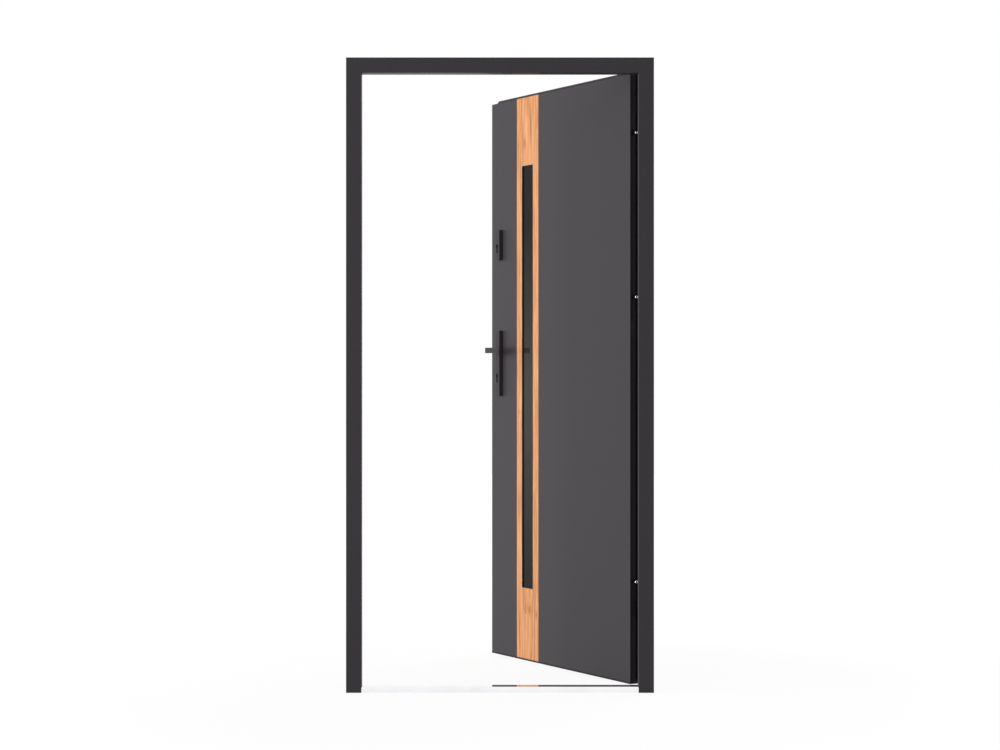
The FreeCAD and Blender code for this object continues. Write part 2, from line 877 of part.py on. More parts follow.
for prefix, y_face, outward in (("outer", leaf_front_y, -1), ("inner", leaf_back_y, 1)):
    save_swung(
        prefix + "_long_plate",
        handle_plate(
            y_face,
            outward,
            cylinder_height - plate_below_cylinder,
            spindle_height + plate_above_spindle,
            cylinder_height,
            True,
        ),
    )
    save_swung(
        prefix + "_escutcheon",
        handle_plate(
            y_face,
            outward,
            upper_cylinder_height - escutcheon_below_cylinder,
            upper_cylinder_height + escutcheon_above_cylinder,
            upper_cylinder_height,
            False,
        ),
    )
    save_swung(prefix + "_lever", lever(y_face, outward))
save_swung("spindle", spindle())
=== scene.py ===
import json
import math

import bpy
import numpy as np
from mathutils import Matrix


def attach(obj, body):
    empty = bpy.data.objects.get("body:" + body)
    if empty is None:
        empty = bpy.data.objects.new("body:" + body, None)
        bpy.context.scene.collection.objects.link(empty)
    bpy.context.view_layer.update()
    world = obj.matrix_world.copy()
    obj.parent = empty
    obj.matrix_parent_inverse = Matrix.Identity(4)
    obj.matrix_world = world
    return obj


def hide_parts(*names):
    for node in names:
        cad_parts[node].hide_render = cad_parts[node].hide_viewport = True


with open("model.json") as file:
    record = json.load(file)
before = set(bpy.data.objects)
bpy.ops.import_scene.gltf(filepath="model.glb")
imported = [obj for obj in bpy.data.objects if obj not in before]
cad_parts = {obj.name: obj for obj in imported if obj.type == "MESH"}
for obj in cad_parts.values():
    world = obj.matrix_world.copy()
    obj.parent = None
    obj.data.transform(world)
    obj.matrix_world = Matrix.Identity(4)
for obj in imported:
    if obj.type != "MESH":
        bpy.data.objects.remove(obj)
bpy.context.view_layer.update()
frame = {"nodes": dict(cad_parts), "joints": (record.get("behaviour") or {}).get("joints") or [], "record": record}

# A steel front door that opens inwards, seen from outdoors. Values are in metres and radians, and
# colours are linear. Pieces of the leaf are worked out shut, where +X is the hinge side, -Y outdoors
# and +Z up, and are then swung open about the hinge axis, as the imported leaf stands.

node = frame["nodes"]
hinge_x, hinge_y, _ = frame["joints"][0]["pos_m"]

MM = 0.001
OPEN = math.radians(60)
OUTDOORS = -1
INDOORS = 1

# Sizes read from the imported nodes

APART = 50 * MM


def swing(points, angle=OPEN):
    """Turns points about the hinge axis: x and y by the cosine and sine of the angle, z unchanged."""
    x = points[..., 0] - hinge_x
    y = points[..., 1] - hinge_y
    swung = np.empty_like(points)
    swung[..., 0] = hinge_x + x * math.cos(angle) + y * math.sin(angle)
    swung[..., 1] = hinge_y - x * math.sin(angle) + y * math.cos(angle)
    swung[..., 2] = points[..., 2]
    return swung


def node_points(name, angle):
    """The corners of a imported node, turned back by an angle about the hinge axis."""
    mesh = node[name].data
    flat = np.empty(len(mesh.vertices) * 3)
    mesh.vertices.foreach_get("co", flat)
    return swing(flat.reshape(-1, 3), -angle)


def node_box(name, angle=0.0):
    """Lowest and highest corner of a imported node, turned back by an angle about the hinge axis."""
    points = node_points(name, angle)
    return points.min(0), points.max(0)


def shut_box(name):
    """The same for a node of the leaf when the leaf is shut."""
    return node_box(name, OPEN)


def stacked_boxes(name, angle=0.0):
    """The boxes of a node's solids that stand one above the other, more than APART from each other."""
    points = node_points(name, angle)
    order = points[points[:, 2].argsort()]
    jumps = np.flatnonzero(np.diff(order[:, 2]) > APART) + 1
    return [(part.min(0), part.max(0)) for part in np.split(order, jumps)]


# Surfaces, each a pair of points and faces

SHARP_EDGE = math.radians(35)
HEX = math.pi / 3


def quads(rows, columns, round_rows=False):
    """Faces of a grid of closed rings, one ring a row, each the four corners between two rows."""
    row = np.arange(rows if round_rows else rows - 1)[:, None]
    column = np.arange(columns)[None, :]
    across = (column + 1) % columns
    below = (row + 1) % rows
    corners = [
        row * columns + column,
        row * columns + across,
        below * columns + across,
        below * columns + column,
    ]
    return np.stack(np.broadcast_arrays(*corners), -1).reshape(-1, 4).tolist()


def closed_tube(rings):
    """A grid of closed rings, shape (rings, points, 3), with a fan to the middle of its two ends."""
    count, around, _ = rings.shape
    points = np.concatenate([rings.reshape(-1, 3), rings[:1].mean(1), rings[-1:].mean(1)])
    column = np.arange(around)
    following = (column + 1) % around
    first = np.stack([following, column, np.full(around, count * around)], -1)
    base = (count - 1) * around
    last = np.stack([base + column, base + following, np.full(around, count * around + 1)], -1)
    return points, quads(count, around) + first.tolist() + last.tolist()


def carried(profile, path, outward, rise, closed):
    """A closed profile of (u, v) carried along a path: point + u times its outward + v times a rise.

    A corner's outward is as long as the mitre there needs, so a square corner's is (1, 1).
    """
    profile = np.array(profile, float)
    rings = (
        np.array(path, float)[:, None]
        + profile[None, :, :1] * np.array(outward, float)[:, None]
        + profile[None, :, 1:] * np.array(rise, float)
    )
    if closed:
        return rings.reshape(-1, 3), quads(*rings.shape[:2], True)
    return closed_tube(rings)


def turned(section, sides=48):
    """A section of (radius, height, hexagon share) turned about z.

    A round ring has the section's radius at every angle. A hexagon's reach at an angle is that radius
    over the cosine of the angle's distance from the middle of its flat. The section starts and ends
    on z.
    """
    angle = np.arange(sides) * (2 * math.pi / sides)
    flat = 1 / np.cos((angle + HEX / 2) % HEX - HEX / 2)
    radius, height, share = np.array(section[1:-1], float).T[:, :, None]
    reach = radius * (1 - share + share * flat)
    rings = np.stack([reach * np.cos(angle), reach * np.sin(angle), height + 0 * reach], -1)
    points, faces = closed_tube(rings)
    points[-2] = (0, 0, section[0][1])
    points[-1] = (0, 0, section[-1][1])
    return points, faces


def rounded_bar(low, high, rounding, steps=5):
    """A box with all its edges rounded: rings along x of a rectangle with round corners.

    Towards an end, at an angle t of a quarter turn, a ring is inset by rounding times 1 - cos t, and
    it lies rounding times 1 - sin t from that end.
    """
    quarter = np.radians(np.linspace(0, 90, steps + 1))
    corner = np.concatenate([quarter + n * math.pi / 2 for n in range(4)])
    middle = (low + high) / 2
    half = (high - low) / 2 - rounding
    side_y = np.repeat([1, -1, -1, 1], steps + 1) * half[1]
    side_z = np.repeat([1, 1, -1, -1], steps + 1) * half[2]
    inset = rounding * (1 - np.cos(quarter))
    near = low[0] + rounding * (1 - np.sin(quarter))
    far = high[0] - rounding * (1 - np.sin(quarter))
    along = np.concatenate([near[::-1], far])
    radius = rounding - np.concatenate([inset[::-1], inset])
    y = middle[1] + side_y + radius[:, None] * np.cos(corner)
    z = middle[2] + side_z + radius[:, None] * np.sin(corner)
    return closed_tube(np.stack([np.broadcast_to(along[:, None], y.shape), y, z], -1))


def facing_out(points, faces):
    """The faces of a closed shape, turned round if the volume that they enclose comes out negative.

    The volume is the sum of a times b times c, cross and dot, over the two triangles of each face.
    """
    first, second, third, last = (points[[face[n] for face in faces]] for n in (0, 1, 2, -1))
    halves = np.cross(first, second) * third + np.cross(first, third) * last
    return faces if halves.sum() > 0 else [face[::-1] for face in faces]


def joined(*shapes):
    """Several shapes as one."""
    points = []
    faces = []
    for some_points, some_faces in shapes:
        base = sum(len(earlier) for earlier in points)
        points.append(some_points)
        faces += [[corner + base for corner in face] for face in facing_out(some_points, some_faces)]
    return np.concatenate(points), faces


def several(shape, places, along, up=(0, 0, 1)):
    """Copies a small shape to many places; its own z points along a vector and its y points up."""
    points, faces = shape
    z = np.array(along, float)
    y = np.array(up, float)
    turn = np.stack([np.cross(y, z), y, z])
    places = np.array(places, float)
    moved = (points @ turn)[None] + places[:, None]
    count = len(points)
    repeated = [[corner + n * count for corner in face] for n in range(len(places)) for face in faces]
    return moved.reshape(-1, 3), repeated


def piece(name, body, shape, slot, finish=None, replaces=()):
    """Puts closed shapes, given with the leaf shut, into a mesh that rides on a body.

    What rides on the leaf or the handle is swung open. Edges sharper than SHARP_EDGE stay sharp.
    """
    points, faces = shape
    if body != "frame":
        points = swing(points)
    mesh = bpy.data.meshes.new(name)
    mesh.from_pydata(points.tolist(), [], facing_out(points, faces))
    mesh.materials.append(finish or finishes[slot])
    mesh.shade_smooth()
    mesh.set_sharp_from_angle(angle=SHARP_EDGE)
    made = bpy.data.objects.new(name, mesh)
    bpy.context.scene.collection.objects.link(made)
    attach(made, body)
    if replaces:
        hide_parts(*replaces)


# Nodes of a finish

NOISE_RANGE = (0.3, 0.7)


class Signal:
    """An output of a node. An expression on it adds its Math nodes to the finish.

    Its remainder is only used on values over 0, where the node's and Python's are the same.
    """

    def __init__(self, finish, socket):
        self.finish = finish
        self.socket = socket

    def math(self, operation, first, second=0.0):
        sockets = {"Value": first, "Value_001": second}
        return self.finish.node("ShaderNodeMath", {"operation": operation}, sockets)["Value"]

    def __add__(self, other):
        return self.math("ADD", self, other)

    def __sub__(self, other):
        return self.math("SUBTRACT", self, other)

    def __rsub__(self, other):
        return self.math("SUBTRACT", other, self)

    def __mul__(self, other):
        return self.math("MULTIPLY", self, other)

    def __pow__(self, other):
        return self.math("POWER", self, other)

    def __mod__(self, other):
        return self.math("MODULO", self, other)

    def __abs__(self):
        return self.math("ABSOLUTE", self)

    __radd__ = __add__
    __rmul__ = __mul__


class Finish:
    """The nodes of a material, or of the world."""

    def __init__(self, owner):
        owner.use_nodes = True
        self.owner = owner
        self.tree = owner.node_tree
        self.tree.nodes.clear()

    def node(self, kind, settings, sockets):
        """Adds a node, sets its settings and then its sockets, and returns its outputs by name."""
        made = self.tree.nodes.new(kind)
        for name, value in settings.items():
            if name == "stops":
                ramp = made.color_ramp
                for n, (place, colour) in enumerate(value):
                    stop = ramp.elements[n] if n < 2 else ramp.elements.new(place)
                    stop.position = place
                    stop.color = (*colour, 1)
            else:
                setattr(made, name, value)
        for name, value in sockets.items():
            socket = next(s for s in made.inputs if s.identifier == name)
            if isinstance(value, Signal):
                self.tree.links.new(value.socket, socket)
            elif socket.type == "RGBA":
                socket.default_value = (*value, 1)
            else:
                socket.default_value = value
        return {s.identifier: Signal(self, s) for s in made.outputs}

    def here(self, stretch=(1, 1, 1)):
        """The point on the object, with each axis stretched; a pattern runs along its smallest."""
        point = self.node("ShaderNodeTexCoord", {}, {})["Object"]
        return self.stretched(point, stretch)

    def here_shut(self, stretch=(1, 1, 1)):
        """The same for the leaf, turned back to where it is shut."""
        point = self.node("ShaderNodeTexCoord", {}, {})["Object"]
        turn = {"Vector": point, "Center": (hinge_x, hinge_y, 0), "Angle": OPEN}
        shut = self.node("ShaderNodeVectorRotate", {"rotation_type": "Z_AXIS"}, turn)["Vector"]
        return self.stretched(shut, stretch)

    def stretched(self, point, stretch):
        """A point times a number for each axis."""
        if stretch == (1, 1, 1):
            return point
        sockets = {"Vector": point, "Vector_001": stretch}
        return self.node("ShaderNodeVectorMath", {"operation": "MULTIPLY"}, sockets)["Vector"]

    def noise(self, point, scale, detail=2.0, rough=0.5):
        """Smooth noise from 0 to 1, with its features 1 / scale long."""
        sockets = {"Vector": point, "Scale": scale, "Detail": detail, "Roughness": rough}
        return self.node("ShaderNodeTexNoise", {}, sockets)["Fac"]

    def between(self, value, low, high, to_low=0.0, to_high=1.0):
        """Carries a range of a value to another range, and keeps it inside."""
        sockets = {
            "Value": value,
            "From Min": low,
            "From Max": high,
            "To Min": to_low,
            "To Max": to_high,
        }
        return self.node("ShaderNodeMapRange", {"clamp": True}, sockets)["Result"]

    def spread(self, noise, to_low=0.0, to_high=1.0):
        """Carries the range that smooth noise hardly leaves to another range."""
        return self.between(noise, *NOISE_RANGE, to_low, to_high)

    def ramp(self, value, stops):
        return self.node("ShaderNodeValToRGB", {"stops": stops}, {"Fac": value})["Color"]

    def mix(self, share, first, second):
        """A share of the second colour over the first."""
        sockets = {"Factor_Float": share, "A_Color": first, "B_Color": second}
        return self.node("ShaderNodeMix", {"data_type": "RGBA"}, sockets)["Result_Color"]

    def bump(self, height, depth):
        """A normal from a height of 0 to 1 that stands for a real depth."""
        sockets = {"Height": height, "Distance": depth, "Strength": 1.0}
        return self.node("ShaderNodeBump", {}, sockets)["Normal"]

    def seen_directly(self):
        """1 for rays of the camera and for rays in a mirror or through glass, 0 for those that light."""
        rays = self.node("ShaderNodeLightPath", {}, {})
        shown = rays["Is Camera Ray"] + rays["Is Glossy Ray"] + rays["Is Transmission Ray"]
        return self.between(shown, 0.0, 1.0)

    def surface(self, **sockets):
        """Ends the material in one shader. Numbers that are the same all over are set on it."""
        named = {name.replace("_", " "): value for name, value in sockets.items()}
        shader = self.node("ShaderNodeBsdfPrincipled", {}, named)["BSDF"]
        self.node("ShaderNodeOutputMaterial", {}, {"Surface": shader})
        return self.owner


def new_finish(name):
    return Finish(bpy.data.materials.new(name))


def shade(tone, share):
    """A colour times a number, kept under white."""
    return tuple(min(1.0, share * part) for part in tone)


# Finishes of metal, plastic and foam. Each relief is the depth of a bump.

PEEL_RELIEF = 0.06 * MM
BRUSHED_RELIEF = 0.01 * MM
TURNED_RELIEF = 0.005 * MM
DRAWN_RELIEF = 0.03 * MM
RUBBER_RELIEF = 0.04 * MM
FOAM_RELIEF = 0.4 * MM
RUBBER = (0.008, 0.008, 0.008)
RUBBER_DUST = (0.02, 0.019, 0.019)
PROFILE_DUST = 0.004
FOAM_WALLS = (0.62, 0.58, 0.44)
FOAM_CELLS = (0.8, 0.76, 0.62)


def powder_coat(name, tone, rough, shine):
    """Baked powder paint: a faint orange peel, fine grains and slow changes of tone and gloss.

    Clouds and grains change the tone by up to a twenty-fifth of itself, and clouds and peel change
    the roughness by up to 0.04 either way.
    """
    finish = new_finish(name)
    point = finish.here()
    clouds = finish.noise(point, scale=4.0, detail=3.0)
    peel = finish.noise(point, scale=260.0, detail=2.0)
    grain = finish.noise(point, scale=1500.0, detail=1.0)
    paler = finish.spread(clouds * 0.4 + grain * 0.6)
    return finish.surface(
        Base_Color=finish.mix(paler, shade(tone, 0.96), shade(tone, 1.04)),
        Roughness=finish.spread(clouds * 0.5 + peel * 0.5, rough - 0.04, rough + 0.04),
        Specular_IOR_Level=shine,
        Normal=finish.bump(peel * 0.7 + grain * 0.3, PEEL_RELIEF),
    )


def brushed_steel(name, tone, rough, stretch):
    """Stainless steel with fine brush lines along the axis that is stretched least."""
    finish = new_finish(name)
    lines = finish.noise(finish.here(stretch), scale=900.0, detail=3.0, rough=0.65)
    clouds = finish.noise(finish.here(), scale=9.0, detail=4.0, rough=0.6)
    uneven = lines * 0.6 + clouds * 0.4
    return finish.surface(
        Base_Color=finish.mix(finish.between(uneven, 0.3, 0.6), shade(tone, 0.91), shade(tone, 1.05)),
        Metallic=1.0,
        Roughness=finish.spread(uneven, 0.6 * rough, 1.4 * rough),
        Normal=finish.bump(lines, BRUSHED_RELIEF),
    )


def turned_steel(name, tone, rough):
    """Bright turned steel with a fine cloud of handling marks."""
    finish = new_finish(name)
    point = finish.here()
    marks = finish.noise(point, scale=320.0, detail=4.0, rough=0.7)
    clouds = finish.noise(point, scale=30.0, detail=2.0)
    return finish.surface(
        Base_Color=finish.mix(finish.between(marks, 0.35, 0.6), shade(tone, 0.94), tone),
        Metallic=1.0,
        Roughness=finish.spread(marks * 0.3 + clouds * 0.7, 0.8 * rough, 1.3 * rough),
        Normal=finish.bump(marks, TURNED_RELIEF),
    )


def drawn_profile(name, tone, rough, stretch):
    """Black extruded profile with faint lines along its length and a trace of dust."""
    finish = new_finish(name)
    lines = finish.noise(finish.here(stretch), scale=500.0, detail=2.0)
    dust = finish.noise(finish.here(), scale=60.0, detail=4.0, rough=0.6)
    dusty = tuple(part + PROFILE_DUST for part in tone)
    return finish.surface(
        Base_Color=finish.mix(finish.between(dust, 0.5, 0.75), tone, dusty),
        Roughness=finish.spread(lines * 0.5 + dust * 0.5, rough - 0.06, rough + 0.06),
        Specular_IOR_Level=0.25,
        Normal=finish.bump(lines, DRAWN_RELIEF),
    )


def soft_rubber(name):
    """Soft black rubber: matt, with a fine skin and a little pale dust."""
    finish = new_finish(name)
    point = finish.here()
    skin = finish.noise(point, scale=900.0, detail=3.0, rough=0.6)
    dust = finish.noise(point, scale=45.0, detail=4.0, rough=0.65)
    return finish.surface(
        Base_Color=finish.mix(finish.between(dust, 0.5, 0.8), RUBBER, RUBBER_DUST),
        Roughness=finish.spread(dust, 0.6, 0.8),
        Specular_IOR_Level=0.3,
        Normal=finish.bump(skin, RUBBER_RELIEF),
    )


def insulating_foam(name):
    """Pale rigid foam of small closed cells."""
    finish = new_finish(name)
    sockets = {"Vector": finish.here(), "Scale": 700.0}
    cells = finish.node("ShaderNodeTexVoronoi", {}, sockets)["Distance"]
    return finish.surface(
        Base_Color=finish.mix(finish.between(cells, 0.1, 0.6), FOAM_WALLS, FOAM_CELLS),
        Roughness=0.85,
        Normal=finish.bump(cells, FOAM_RELIEF),
    )


# Dark glass of the slot, with a painted reflection: a pale band in its colour. The stops go up the height between
# the two ends of GLASS_HEIGHTS.

GLASS_HEIGHTS = (0.3, 1.85)
# Painted reflection: the glass's colour is palest in the middle of its height
PAINTED_REFLECTION_STOPS = (
    (0.00, (0.003, 0.0025, 0.003)),
    (0.20, (0.024, 0.021, 0.021)),
    (0.30, (0.033, 0.030, 0.028)),
    (0.36, (0.048, 0.044, 0.042)),
    (0.48, (0.048, 0.045, 0.042)),
    (0.60, (0.030, 0.028, 0.025)),
    (0.85, (0.003, 0.003, 0.004)),
)
GLASS_FILM = 100 * MM
GLASS_RIM = 20 * MM
RIM_EDGE = 0.4 * MM
# Black of the rim: the spacer seen through the glass, and painted shade for the deep reveal's reflection
SPACER_AND_PAINTED_SHADE_BLACK = (0.002, 0.002, 0.002)


def slot_glass(name):
    """Dark reflecting glass with a painted reflection, palest at the middle of its height, and a black rim.

    The rim is where the distance from the pane's middle, across or up, is over its half size less
    GLASS_RIM. It is the spacer seen through the glass, and also painted shade for the deep reveal's
    reflection. A faint film moves the heights of the painted reflection's tones.
    """
    finish = new_finish(name)
    point = finish.here_shut()
    axes = finish.node("ShaderNodeSeparateXYZ", {}, {"Vector": point})
    low, high = shut_box("outer_pane")
    middle = (low + high) / 2
    half = (high - low) / 2 - GLASS_RIM
    sides = finish.between(abs(axes["X"] - middle[0]), half[0], half[0] + RIM_EDGE)
    ends = finish.between(abs(axes["Z"] - middle[2]), half[2], half[2] + RIM_EDGE)
    film = finish.noise(point, scale=14.0, detail=3.0)
    up = finish.between(axes["Z"] + film * GLASS_FILM, *GLASS_HEIGHTS)
    rim = finish.between(sides + ends, 0.0, 1.0)
    return finish.surface(
        # Base colour: the painted reflection's tones, under the rim's black of spacer and painted shade
        Base_Color=finish.mix(rim, finish.ramp(up, PAINTED_REFLECTION_STOPS), SPACER_AND_PAINTED_SHADE_BLACK),
        Roughness=finish.spread(film, 0.03, 0.055),
        IOR=1.4,
        Specular_IOR_Level=0.14,
    )


# Oak decor. A knot is its place across the shut leaf, its height, its half width and half height.

KNOTS = (
    (-0.224, 1.860, 0.015, 0.036),
    (-0.268, 1.856, 0.006, 0.018),
    (-0.190, 0.196, 0.017, 0.030),
    (-0.143, 0.183, 0.008, 0.024),
    (-0.262, 0.900, 0.005, 0.018),
)
KNOT_PULL = 0.6
KNOT_SHARE = 0.6
KNOT_RIM = (0.60, 0.22, 0.065)
KNOT_CORE = (0.38, 0.115, 0.03)
LOG_ACROSS = -0.205
LOG_HEIGHT = 1.1
LOG_SLOPE = 0.045
LOG_DEPTH = 20 * MM
SWAY_DEPTH = 50 * MM
SWAY_ACROSS = 30 * MM
RIPPLE_ACROSS = 14 * MM
RING_WIDTH = 12.5 * MM
PORE_RELIEF = 0.05 * MM
PORE_TONE = (0.45, 0.20, 0.09)
OAK_STOPS = (
    (0.28, (0.48, 0.180, 0.062)),
    (0.42, (0.68, 0.280, 0.102)),
    (0.52, (0.79, 0.345, 0.136)),
    (0.66, (0.90, 0.440, 0.200)),
)


def oak_decor(name):
    """Light oak with upright grain: arched rings of a long log, pores, slow streaks and small knots.

    The rings are the fraction of the distance to the log's core over RING_WIDTH. The core leans away
    from the face with the height, sways a little, and bends round each knot. A knot's nearness is 1
    over 1 plus the squares of the distances across and up, in its half sizes.
    """
    finish = new_finish(name)
    axes = finish.node("ShaderNodeSeparateXYZ", {}, {"Vector": finish.here_shut()})
    across = axes["X"]
    height = axes["Z"]
    sway = finish.noise(finish.here_shut((5.0, 1.0, 0.55)), scale=1.6, detail=2.0) - 0.5
    ripple = finish.noise(finish.here_shut((1.0, 1.0, 0.08)), scale=60.0, detail=3.0) - 0.5

    pull = 0.0
    dark_knots = 0.0
    for x, z, half_width, half_height in KNOTS:
        dx = (across - x) * (1 / half_width)
        dz = (height - z) * (1 / half_height)
        nearness = (dx * dx + dz * dz + 1.0) ** -1.0
        pull = pull + nearness * (half_width * KNOT_PULL)
        dark_knots = dark_knots + nearness ** 3.0

    depth = (height - LOG_HEIGHT) * LOG_SLOPE + sway * SWAY_DEPTH
    aside = across - LOG_ACROSS + sway * SWAY_ACROSS + ripple * RIPPLE_ACROSS + pull
    radius = (aside * aside + depth * depth + LOG_DEPTH * LOG_DEPTH) ** 0.5
    rings = radius * (1 / RING_WIDTH) % 1.0
    late_wood = finish.between(rings, 0.25, 0.95) ** 2.0

    fibres = finish.noise(finish.here_shut((1.0, 1.0, 0.012)), scale=900.0, detail=3.0, rough=0.6)
    pits = finish.noise(finish.here_shut((1.0, 1.0, 0.03)), scale=1500.0, detail=1.0)
    pores = finish.between(pits, 0.60, 0.72)
    streaks = finish.noise(finish.here_shut((1.0, 1.0, 0.08)), scale=75.0, detail=4.0, rough=0.6)
    boards = finish.noise(finish.here_shut((1.0, 1.0, 0.2)), scale=9.0, detail=1.0)

    tone = streaks * 0.85 + boards * 0.1 + fibres * 0.24 + late_wood * -0.15 - 0.05
    colour = finish.mix(pores * 0.25, finish.ramp(tone, OAK_STOPS), PORE_TONE)
    colour = finish.mix(finish.between(dark_knots, 0.04, 0.5) * KNOT_SHARE, colour, KNOT_RIM)
    colour = finish.mix(finish.between(dark_knots, 0.5, 1.0) * KNOT_SHARE, colour, KNOT_CORE)
    return finish.surface(
        Base_Color=colour,
        Roughness=finish.between(fibres * 0.5 + pores * 0.5, 0.2, 0.8, 0.42, 0.58),
        Specular_IOR_Level=0.35,
        Normal=finish.bump(pores * -0.7 + fibres * 0.3, PORE_RELIEF),
    )


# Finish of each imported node

ANTHRACITE = (0.0468, 0.0424, 0.0468)
LEAF_PAINT = (0.0542, 0.0484, 0.0542)
PROFILE_BLACK = (0.004, 0.0035, 0.004)
BLACKENED = (0.03, 0.028, 0.03)
STEEL = (0.60, 0.59, 0.58)
PALE_STEEL = (0.92, 0.90, 0.92)
NICKEL = (0.80, 0.79, 0.77)
POLISHED = (0.99, 0.98, 0.97)
ALONG_X = (0.02, 1.0, 1.0)
UPRIGHT = (1.0, 1.0, 0.02)

finishes = {
    "frame_paint": powder_coat("frame_powder_coat", ANTHRACITE, 0.42, 0.15),
    "leaf_paint": powder_coat("leaf_powder_coat", LEAF_PAINT, 0.42, 0.18),
    "handle_paint": powder_coat("handle_powder_coat", ANTHRACITE, 0.42, 0.15),
    "stainless": brushed_steel("upright_brushed_steel", STEEL, 0.28, UPRIGHT),
    "dark_profile": drawn_profile("black_profile", PROFILE_BLACK, 0.4, UPRIGHT),
    "seal_rubber": soft_rubber("black_rubber"),
    "oak_decor": oak_decor("oak_decor_foil"),
    "dark_glass": slot_glass("dark_slot_glass"),
    "bright_steel": turned_steel("turned_nickel", NICKEL, 0.2),
    "cylinder_black": turned_steel("blackened_steel", BLACKENED, 0.35),
    "core_foam": insulating_foam("insulating_foam"),
}
threshold_steel = brushed_steel("threshold_steel", PALE_STEEL, 0.05, ALONG_X)
polished_tip = turned_steel("polished_tip", POLISHED, 0.1)

for subpart in frame["record"]["subparts"]:
    slots = node[subpart["node"]].material_slots
    slots[0].material = finishes[subpart["material_slot"]]
node["threshold_cover"].material_slots[0].material = threshold_steel

# Seals and gaskets

SEAL_WIDTH = 5 * MM
SEAL_FOOT = 1.4 * MM
BULB_RADIUS = 1.75 * MM
BULB_ARC = np.radians(np.linspace(-50, 230, 21))
GLAZING_BITE = 12 * MM
BEAD_WALL = 2 * MM
GASKET = 1.6 * MM
GASKET_LIP = 0.1
GASKET_ROUND = 0.54
GASKET_ARC = np.radians(np.linspace(90, 0, 7))


def bulb_seal(height):
    """A seal's section: a flat foot, and a bulb of one radius that rises from its middle."""
    bulb = np.stack([np.cos(BULB_ARC), np.sin(BULB_ARC)], 1) * BULB_RADIUS
    bulb += (SEAL_WIDTH / 2, height - BULB_RADIUS)
    foot = [(0, SEAL_FOOT), (0, 0), (SEAL_WIDTH, 0), (SEAL_WIDTH, SEAL_FOOT)]
    return foot + bulb.tolist()


def around(low, high, y):
    """The corners of an upright rectangle at y, with their mitres outwards."""
    path = [(low[0], y, low[1]), (high[0], y, low[1]), (high[0], y, high[1]), (low[0], y, high[1])]
    return path, [(-1, 0, -1), (1, 0, -1), (1, 0, 1), (-1, 0, 1)]


def over(low, high, y):
    """The path up one side, over the top and down the other, with its mitres outwards."""
    path = [(low[0], y, low[1]), (low[0], y, high[1]), (high[0], y, high[1]), (high[0], y, low[1])]
    return path, [(-1, 0, 0), (-1, 0, 1), (1, 0, 1), (1, 0, 0)]


def frame_seal():
    """The seal in the frame's stop, with its bulb towards the leaf, all round the opening."""
    low, high = node_box("frame_seal")
    path, mitres = around(low[[0, 2]] + SEAL_WIDTH, high[[0, 2]] - SEAL_WIDTH, low[1])
    shape = carried(bulb_seal(high[1] - low[1]), path, mitres, (0, INDOORS, 0), True)
    piece("frame_bulb_seal", "frame", shape, "seal_rubber", replaces=["frame_seal"])


def lip_seal():
    """The seal under the leaf's lip, with its bulb towards the frame, on three sides."""
    low, high = shut_box("lip_seal")
    inner_low = (low[0] + SEAL_WIDTH, low[2])
    inner_high = (high[0] - SEAL_WIDTH, high[2] - SEAL_WIDTH)
    path, mitres = over(inner_low, inner_high, high[1])
    shape = carried(bulb_seal(high[1] - low[1]), path, mitres, (0, OUTDOORS, 0), False)
    piece("lip_bulb_seal", "leaf", shape, "seal_rubber", replaces=["lip_seal"])


def glazing_gaskets():
    """A gasket between each pane and the lining of its slot: a quarter round with two thin lips.

    The quarter round's points are GASKET_LIP plus GASKET_ROUND times the cosine and sine.
    """
    quarter = GASKET_LIP + GASKET_ROUND * np.stack([np.cos(GASKET_ARC), np.sin(GASKET_ARC)], 1)
    section = np.concatenate([[(1, 0), (0, 0), (0, 1)], quarter]) * (-GASKET, GASKET)
    inset = GLAZING_BITE + BEAD_WALL
    for side, outward in (("outer", OUTDOORS), ("inner", INDOORS)):
        low, high = shut_box(side + "_pane")
        face = high[1] if outward > 0 else low[1]
        path, mitres = around(low[[0, 2]] + inset, high[[0, 2]] - inset, face)
        shape = carried(section, path, mitres, (0, outward, 0), True)
        piece(side + "_pane_gasket", "leaf", shape, "seal_rubber")


frame_seal()
lip_seal()
glazing_gaskets()

# Security pins. Their sections are shares of the barrel's radius and of the pin's length, and BARREL
# is the barrel's radius over its flange's.

BARREL = 0.714
FLANGE = 1 / BARREL
TIP_SECTION = (
    (0.00, 0.90, 0),
    (0.50, 0.90, 0),
    (0.50, 0.985, 0),
    (0.54, 1.00, 0),
    (0.70, 1.00, 0),
    (0.80, 0.975, 0),
    (0.95, 0.85, 0),
    (0.95, 0.50, 0),
    (0.00, 0.50, 0),
)
# The sleeve's core rises into the tip's bore, where its black top is painted shade in the bore
SLEEVE_AND_BORE_SHADE_SECTION = (
    (0.00, 0.965, 0),
    (0.52, 0.965, 0),
    (0.52, 0.66, 0),
    (0.96, 0.66, 0),
    (1.00, 0.64, 0),
    (1.00, 0.14, 0),
    (0.93 * FLANGE, 0.12, 0),
    (FLANGE, 0.09, 0),
    (FLANGE, 0.00, 0),
    (0.00, 0.00, 0),
)


def security_pins():
    """Bright turned tips with a bore, each in a black collared sleeve whose core fills the bore's foot as painted
    shade.
    """
    boxes = stacked_boxes("security_pins", OPEN)
    low, high = boxes[0]
    size = (BARREL * (high[2] - low[2]) / 2, high[0] - low[0], 1)
    places = [(a[0], (a[1] + b[1]) / 2, (a[2] + b[2]) / 2) for a, b in boxes]
    for name, section, slot, finish in (
        ("security_pin_tips", TIP_SECTION, "bright_steel", polished_tip),
        ("security_pin_sleeves_and_bore_shade", SLEEVE_AND_BORE_SHADE_SECTION, "dark_profile", None),
    ):
        shape = several(turned(np.array(section) * size, sides=60), places, (1, 0, 0))
        piece(name, "leaf", shape, slot, finish, replaces=["security_pins"])


security_pins()

# Screws. Their section is shares of the head's radius and height, with a hexagon socket.

